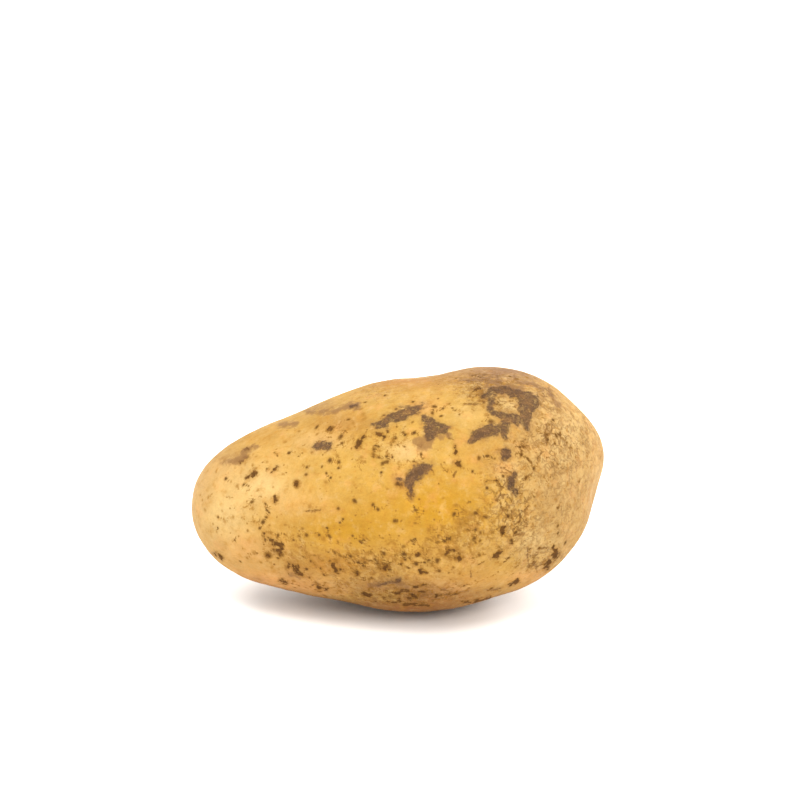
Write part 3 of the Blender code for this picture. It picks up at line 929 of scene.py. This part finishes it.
class Shader:
    """Short calls that add shader nodes and join them. A value is a socket or a number."""

    def __init__(self, name):
        self.material = bpy.data.materials.new(name)
        self.material.use_nodes = True
        self.tree = self.material.node_tree
        self.surface = self.tree.nodes["Principled BSDF"]

    def feed(self, socket, value):
        if isinstance(value, bpy.types.NodeSocket):
            self.tree.links.new(value, socket)
        else:
            socket.default_value = value

    def add(self, kind, inputs, **settings):
        node = self.tree.nodes.new(kind)
        for name, value in settings.items():
            setattr(node, name, value)
        for name, value in inputs.items():
            self.feed(node.inputs[name], value)
        return node

    def attribute(self, name, output="Fac"):
        return self.add("ShaderNodeAttribute", {}, attribute_name=name).outputs[output]

    def math(self, operation, *values):
        return self.add("ShaderNodeMath", dict(enumerate(values)), operation=operation).outputs[0]

    def times(self, first, second):
        return self.math("MULTIPLY", first, second)

    def total(self, *values):
        result = values[0]
        for value in values[1:]:
            result = self.math("ADD", result, value)
        return result

    def vector(self, operation, first, second):
        return self.add("ShaderNodeVectorMath", {0: first, 1: second}, operation=operation).outputs[0]

    def ramp(self, value, start, end, low=0.0, high=1.0):
        """Runs smoothly from low to high while value goes from start to end."""
        inputs = {"Value": value, "From Min": start, "From Max": end, "To Min": low, "To Max": high}
        return self.add("ShaderNodeMapRange", inputs, interpolation_type="SMOOTHSTEP").outputs[0]

    def noise(self, place, spacing, detail=2.0):
        """Noise with swells of the given spacing in millimetres, from about -1 to 1.

        The texture itself runs from about a quarter to three quarters.
        """
        inputs = {"Vector": place, "Scale": 1 / spacing, "Detail": detail, "Roughness": 0.6}
        value = self.add("ShaderNodeTexNoise", inputs).outputs["Fac"]
        inputs = {"Value": value, "From Min": 0.25, "From Max": 0.75, "To Min": -1.0, "To Max": 1.0}
        return self.add("ShaderNodeMapRange", inputs, clamp=False).outputs[0]

    def mix(self, share, first, second, blend="MIX"):
        """Mixes two colours, whose sockets come after those for numbers and vectors."""
        inputs = {0: share, 6: first, 7: second}
        return self.add("ShaderNodeMix", inputs, data_type="RGBA", blend_type=blend).outputs[2]

    def cell_edges(self, place, spacing):
        """The distance to the borders between random cells of the given size in millimetres."""
        inputs = {"Vector": place, "Scale": 1 / spacing}
        return self.add("ShaderNodeTexVoronoi", inputs, feature="DISTANCE_TO_EDGE").outputs["Distance"]

    def brighten(self, colour, factor):
        grey = self.add("ShaderNodeCombineXYZ", {"X": factor, "Y": factor, "Z": factor}).outputs[0]
        return self.mix(1.0, colour, grey, blend="MULTIPLY")

    def scaled(self, vector, factor):
        return self.vector("MULTIPLY", vector, (factor,) * 3)

    def wobbled(self, name, wobble):
        """The way to a mark kept in an attribute, bent by a wobble, as a length and a third number."""
        place = self.add("ShaderNodeSeparateXYZ", {0: self.attribute(name, "Vector")}).outputs
        bend = self.add("ShaderNodeSeparateXYZ", {0: wobble}).outputs
        first = self.total(place[0], bend[0])
        second = self.total(place[1], bend[1])
        squared = self.total(self.times(first, first), self.times(second, second))
        return self.math("SQRT", squared), place[2]

    def ragged(self, gap, edge, soft):
        """1 inside a mark and 0 outside, where edge moves the mark's rim, in millimetres."""
        return self.ramp(self.total(gap, edge), soft, -soft)


class SkinShader(Shader):
    """The skin's material. Each kind of mark covers the colour under it and adds to the relief."""

    def __init__(self):
        super().__init__("potato_skin")
        coordinates = self.add("ShaderNodeTexCoord", {}).outputs["Object"]
        self.place = self.scaled(coordinates, 1 / MM)
        swirl = self.add("ShaderNodeTexNoise", {"Vector": self.place, "Scale": 1 / 1.1, "Detail": 3.0})
        self.swirl = self.vector("SUBTRACT", swirl.outputs["Color"], (0.5,) * 3)
        self.bent = self.vector("ADD", self.place, self.scaled(self.swirl, 2.2))
        self.blotch = self.noise(self.place, spacing=2.4, detail=4.0)
        self.freckle = self.noise(self.place, spacing=0.85, detail=3.0)
        self.grain = self.noise(self.place, spacing=0.35)
        self.crumble = self.noise(self.place, spacing=1.7, detail=5.0)
        self.soft_crumble = self.noise(self.place, spacing=1.2, detail=2.5)
        self.colour = self.attribute("tone", "Color")
        self.heights = []
        self.dull = 0.0

    def cover(self, colour, share, strength=1.0):
        """Lays a colour over what is there, as strongly as strength where share is 1."""
        self.colour = self.mix(self.times(share, strength), self.colour, colour)

    def lift(self, share, height):
        """Adds a relief as high as the height in millimetres where share is 1."""
        self.heights.append(self.times(share, height))

    def roughen(self, share):
        """Makes the surface as rough as soil where share is 1."""
        self.dull = self.math("MAXIMUM", self.dull, share)

    def bare_skin(self):
        """Soft mottling, fine grain and faint streaks along the tuber."""
        mottle = self.noise(self.place, spacing=7.0, detail=3.0)
        streaks = self.noise(self.vector("MULTIPLY", self.bent, (0.14, 1.0, 1.0)), spacing=0.5)
        self.cover(UMBER, self.ramp(self.blotch, 0.0, 0.9), strength=0.45)
        self.cover(CREAM, self.ramp(self.blotch, 0.0, -0.9), strength=0.3)
        warm = self.ramp(self.noise(self.place, spacing=4.5, detail=3.0), 0.1, 0.9)
        self.cover(SALMON, warm, strength=0.3)
        light = self.total(
            1.0,
            self.times(mottle, 0.11),
            self.times(self.freckle, 0.06),
            self.times(self.grain, 0.06),
            self.times(streaks, 0.06),
        )
        self.colour = self.brighten(self.colour, light)
        self.lift(self.grain, GRAIN_HEIGHT)
        self.lift(self.freckle, FRECKLE_HEIGHT)
        self.lift(streaks, STREAK_HEIGHT)
        self.lift(self.blotch, BLOTCH_HEIGHT)

    def stains(self):
        """Brown mottling in the zones that the stain attribute gives."""
        noise = self.noise(self.bent, spacing=1.5, detail=4.0)
        reach = self.times(self.attribute("stain"), 1.1)
        self.cover(STAIN_BROWN, self.ramp(self.total(noise, reach), 0.4, 1.4), strength=0.55)

    def curls(self, place, spacing, width):
        """Thin winding lines, where a noise runs through its middle."""
        value = self.math("ABSOLUTE", self.noise(place, spacing))
        return self.ramp(value, width, width * 0.2)

    def net(self):
        """The net of fine cracks: lines that come and go between raised lumps."""
        strength = self.attribute("net")
        breaks = self.noise(self.place, spacing=2.2)
        lumps = self.noise(self.bent, spacing=2.0, detail=2.5)
        shifted = self.vector("ADD", self.bent, (7.0, 3.0, 5.0))
        edges = self.times(self.ramp(self.cell_edges(self.bent, spacing=2.6), 0.16, 0.02), 0.8)
        edges = self.times(edges, self.ramp(breaks, -0.2, 0.4))
        coarse = self.times(self.curls(self.bent, spacing=3.4, width=0.13), self.ramp(breaks, 0.4, -0.2))
        fine = self.times(self.curls(shifted, spacing=1.9, width=0.16), self.ramp(lumps, 0.0, -0.6))
        line = self.math("MAXIMUM", edges, self.math("MAXIMUM", coarse, fine))
        line = self.times(line, strength)
        # The raised lumps are painted paler and their hollows browner: a painted highlight on the lumps and
        # painted shade in the hollows, following the relief
        self.cover(CREAM, self.times(self.ramp(lumps, -0.3, 0.7), strength), strength=0.5)
        self.cover(STAIN_BROWN, self.times(self.ramp(lumps, -0.1, -1.0), strength), strength=0.4)
        self.cover(CRACK_BROWN, line, strength=0.76)
        self.lift(self.times(lumps, strength), LUMP_HEIGHT)
        self.lift(line, -LINE_DEPTH)

    def wrinkles(self):
        """Fine furrows along the tuber, in the zones that the wrinkle attribute gives."""
        along = self.vector("MULTIPLY", self.bent, (0.3, 1.0, 1.0))
        breaks = self.ramp(self.noise(self.place, spacing=3.0), -0.5, 0.4)
        furrow = self.times(self.curls(along, spacing=1.5, width=0.25), breaks)
        furrow = self.times(furrow, self.attribute("wrinkle"))
        self.cover(CRACK_BROWN, furrow, strength=0.7)
        self.lift(furrow, -FURROW_DEPTH)

    def cracks(self):
        """The cracks placed one by one."""
        reach, gate = self.wobbled("crack", self.scaled(self.swirl, 1.3))
        gap = self.math("MAXIMUM", reach, self.math("SUBTRACT", gate, 0.9))
        gap = self.total(gap, self.times(self.freckle, 0.14))
        self.cover(STAIN_BROWN, self.ramp(gap, 0.7, 0.1), strength=0.25)
        crack = self.ramp(gap, 0.34, 0.05)
        self.cover(SCAB_MID, crack, strength=0.7)
        self.lift(crack, -CRACK_DEPTH)

    def veils(self):
        """Smoky films of soil."""
        patchy = self.ramp(self.blotch, -1.0, 0.8, 0.3, 1.2)
        self.cover(SOIL_PALE, self.times(self.attribute("veil"), patchy))

    def specks(self):
        """Round specks, each with a faint stain round it."""
        reach, rim = self.wobbled("speck", self.scaled(self.swirl, 0.7))
        reach = self.total(reach, self.times(self.grain, 0.25))
        gate = self.ramp(rim, 0.9, 0.5)
        shade = self.attribute("speck_shade")
        halo = self.times(self.ramp(reach, 2.6, 0.8), gate)
        self.cover(SCAB_PALE, halo, strength=0.32)
        speck = self.times(self.ramp(reach, 1.6, 0.3), gate)
        amount = self.times(speck, self.ramp(shade, 0.0, 0.7, 0.35, 0.92))
        self.cover(self.mix(self.ramp(shade, 0.1, 0.9), SCAB_PALE, SCAB_DARK), amount)
        self.lift(speck, SPECK_HEIGHT)
        self.roughen(speck)

    def scabs(self):
        """Brown scabs with a paler rim."""
        gap = self.attribute("scab")
        rim = self.ragged(gap, self.math("MULTIPLY_ADD", self.soft_crumble, 0.7, -0.4), soft=0.45)
        self.cover(SCAB_PALE, rim, strength=0.5)
        scab = self.ragged(gap, self.math("MULTIPLY_ADD", self.soft_crumble, 0.6, 0.05), soft=0.2)
        self.cover(self.mix(self.ramp(self.freckle, -0.5, 1.0), SCAB_DARK, SCAB_MID), scab, strength=0.95)
        self.lift(scab, SCAB_HEIGHT)
        self.roughen(scab)

    def crusts(self):
        """Crusts of dried soil, pale and dark, with a dusty film round the dark ones."""
        edge = self.math("MULTIPLY_ADD", self.crumble, 0.85, -0.12)
        pale = self.ragged(self.attribute("pale_soil"), edge, soft=0.5)
        self.cover(SOIL_PALE, pale, strength=self.ramp(self.freckle, -1.0, 0.4, 0.6, 0.85))
        gap = self.attribute("soil")
        film = self.ragged(gap, self.total(edge, -0.7), soft=0.9)
        self.cover(SOIL_PALE, film, strength=0.35)
        soil = self.ragged(gap, edge, soft=0.32)
        depth = self.total(gap, self.times(self.freckle, 0.9))
        tone = self.mix(self.ramp(depth, -1.2, -0.1, 0.7, 0.9), SOIL_MID, SOIL_DARK)
        tone = self.mix(self.ramp(self.blotch, -0.3, 0.8, 0.0, 0.7), tone, SOIL_PALE)
        tone = self.mix(self.ramp(self.grain, 0.3, 1.1, 0.0, 0.35), tone, SOIL_FLECK)
        texture = self.times(self.freckle, 0.2)
        tone = self.brighten(tone, self.total(1.0, self.times(self.grain, 0.2), texture))
        thick = self.ramp(self.total(self.freckle, self.blotch), -1.3, 0.1, 0.45, 0.95)
        holes = self.ramp(self.noise(self.bent, spacing=1.1, detail=3.0), -0.9, -0.2, 0.35, 1.0)
        self.cover(tone, soil, strength=self.times(thick, holes))
        self.lift(soil, SOIL_HEIGHT)
        self.lift(self.times(soil, self.freckle), SOIL_GRIT)
        self.roughen(soil)

    def finish(self):
        """Joins the colour, the roughness and the relief to the surface."""
        height = self.total(*self.heights)
        bump = self.add("ShaderNodeBump", {"Height": height, "Distance": MM, "Strength": 1.0}).outputs[0]
        surface = self.surface.inputs
        self.feed(surface["Base Color"], self.colour)
        self.feed(surface["Roughness"], self.ramp(self.dull, 0.0, 1.0, SKIN_ROUGHNESS, SOIL_ROUGHNESS))
        self.feed(surface["Normal"], bump)
        surface["Specular IOR Level"].default_value = SKIN_SPECULAR
        return self.material


def skin_material():
    shader = SkinShader()
    shader.bare_skin()
    shader.stains()
    shader.net()
    shader.wrinkles()
    shader.cracks()
    shader.veils()
    shader.specks()
    shader.scabs()
    shader.crusts()
    return shader.finish()


def floor_material():
    shader = Shader("floor_white")
    surface = shader.surface.inputs
    surface["Base Color"].default_value = (*(FLOOR_BRIGHTNESS,) * 3, 1.0)
    surface["Roughness"].default_value = FLOOR_ROUGHNESS
    surface["Specular IOR Level"].default_value = FLOOR_SPECULAR
    return shader.material


def build_floor():
    bpy.ops.mesh.primitive_plane_add(size=FLOOR_SIZE)
    floor = bpy.context.object
    floor.name = "floor"
    floor.data.materials.append(floor_material())


def add_light(name, place, size, power, colour):
    lamp = bpy.data.lights.new(name, "AREA")
    lamp.shape = "DISK"
    lamp.size = size
    lamp.energy = power
    lamp.color = colour
    light = bpy.data.objects.new(name, lamp)
    light.location = place
    light.rotation_euler = (LIGHT_AIM - light.location).to_track_quat("-Z", "Y").to_euler()
    bpy.context.scene.collection.objects.link(light)


def build_light():
    for light in LIGHTS:
        add_light(**light._asdict())
    world = bpy.data.worlds.new("studio")
    world.use_nodes = True
    background = world.node_tree.nodes["Background"]
    background.inputs["Color"].default_value = (1.0, 1.0, 1.0, 1.0)
    background.inputs["Strength"].default_value = WORLD_STRENGTH
    bpy.context.scene.world = world


def build_camera():
    lens = bpy.data.cameras.new("camera")
    lens.lens = LENS
    lens.sensor_width = SENSOR
    camera = bpy.data.objects.new("camera", lens)
    camera.location = PHOTO.place
    camera.rotation_euler = PHOTO.back.to_track_quat("Z", "Y").to_euler()
    bpy.context.scene.collection.objects.link(camera)
    bpy.context.scene.camera = camera


def set_view():
    bpy.context.scene.view_settings.view_transform = "Standard"
    bpy.context.scene.view_settings.look = "None"


build_skin()
build_floor()
build_light()
build_camera()
set_view()
